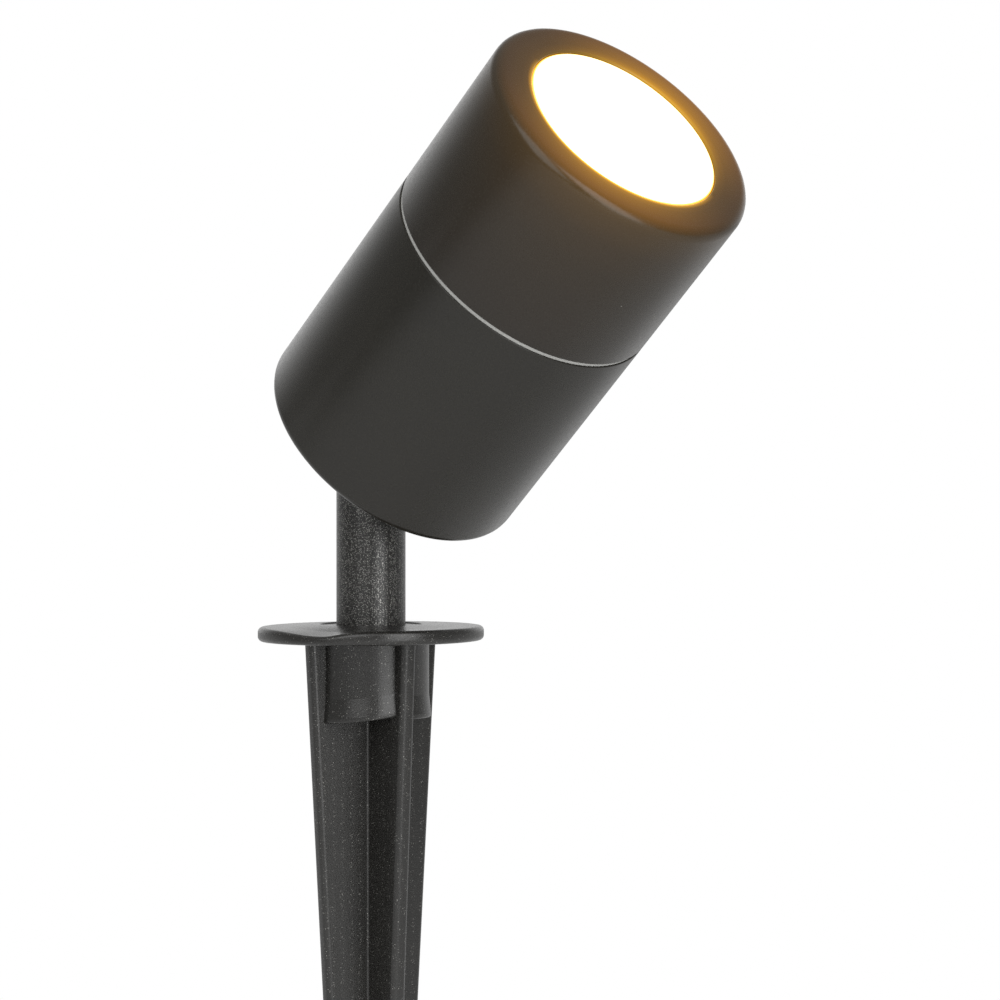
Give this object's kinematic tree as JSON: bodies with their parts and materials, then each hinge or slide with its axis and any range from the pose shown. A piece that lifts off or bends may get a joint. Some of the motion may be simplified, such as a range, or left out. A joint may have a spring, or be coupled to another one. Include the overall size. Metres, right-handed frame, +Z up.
{
  "type": "garden spike spotlight",
  "caption": "Outdoor spotlight: a round tube head with a lit lens, tilting on a short stem that turns in a flanged, cross-finned ground spike.",
  "frame": {"origin": "on the stem's axis at ground level, in the plane of the flange's underside", "axes": "+Z up along the stem, -Z down the spike; the beam tilts towards -Y about a hinge along X"},
  "size_m": [0.06, 0.1212, 0.2922],
  "materials": {
    "spike_plastic": "moulded nylon, satin, fine texture",
    "cast_stem": "die cast, coarse grained paint",
    "head_coat": "fine matt powder coat over aluminium",
    "seam_rubber": "light grey silicone",
    "black_rubber": "black, matt",
    "gland_plastic": "moulded nylon, satin",
    "steel": "zinc plated",
    "brass": "drawn, bright",
    "ceramic": "unglazed steatite",
    "white_plastic": "moulded, satin",
    "opal_plastic": "opal diffuser",
    "circuit_green": "solder mask on glass fibre board",
    "led_phosphor": "phosphor over the chip",
    "driver_black": "moulded",
    "live_brown": "silicone insulation",
    "neutral_blue": "silicone insulation",
    "lead_red": "silicone insulation",
    "lens_opal": "frosted, lit from behind"
  },
  "bodies": {
    "spike": {"ground_spike": "spike_plastic"},
    "stem": {"stem": "cast_stem", "foot_rings": "black_rubber", "hinge_bolt": "steel", "hinge_nut": "steel", "hinge_washers": "steel"},
    "head": {"knuckle": "cast_stem", "knuckle_screws": "steel", "rear_housing": "head_coat", "body_gasket": "seam_rubber", "gland_body": "gland_plastic", "gland_locknut": "gland_plastic", "gland_seal": "black_rubber", "gland_cap": "gland_plastic", "holder_bracket": "steel", "bracket_screws": "steel", "lamp_holder": "ceramic", "holder_contacts": "brass", "holder_screws": "steel", "terminal_block": "white_plastic", "terminal_sleeves": "brass", "terminal_screws": "steel", "live_lead": "live_brown", "neutral_lead": "neutral_blue", "earth_tag": "brass", "earth_screw": "steel"},
    "lamp": {"lamp_shell": "white_plastic", "lamp_pins": "brass", "lamp_cover": "opal_plastic", "led_board": "white_plastic", "led_chips": "led_phosphor", "driver_board": "circuit_green", "driver_parts": "driver_black", "driver_leads": "lead_red"},
    "lens": {"lens_glass": "lens_opal", "lens_gasket": "black_rubber"},
    "bezel": {"bezel": "head_coat", "keeper_ring": "head_coat"}
  },
  "joints": [
    {"name": "stem_turn", "type": "hinge", "parent": "spike", "child": "stem", "pos_m": [0, 0, 0], "axis": [0, 0, 1], "range_deg": [-175, 175]},
    {"name": "head_tilt", "type": "hinge", "parent": "stem", "child": "head", "pos_m": [0, 0, 0.0371], "axis": [1, 0, 0], "range_deg": [-138.6, 41.4]},
    {"name": "lamp_twist", "type": "hinge", "parent": "head", "child": "lamp", "pos_m": [0, -0.0075, 0.04371], "axis": [0, -0.7501, 0.6613], "range_deg": [0, 25]},
    {"name": "bezel_travel", "type": "slide", "parent": "head", "child": "lens", "axis": [0, -0.7501, 0.6613], "range_m": [0, 0.01]},
    {"name": "bezel_turn", "type": "hinge", "parent": "lens", "child": "bezel", "pos_m": [0, -0.0075, 0.04371], "axis": [0, -0.7501, 0.6613], "range_deg": [0, 1800]}
  ],
  "couplings": [
    {"joint": "bezel_travel", "follows": "bezel_turn", "m_per_rad": 0.00031831}
  ]
}
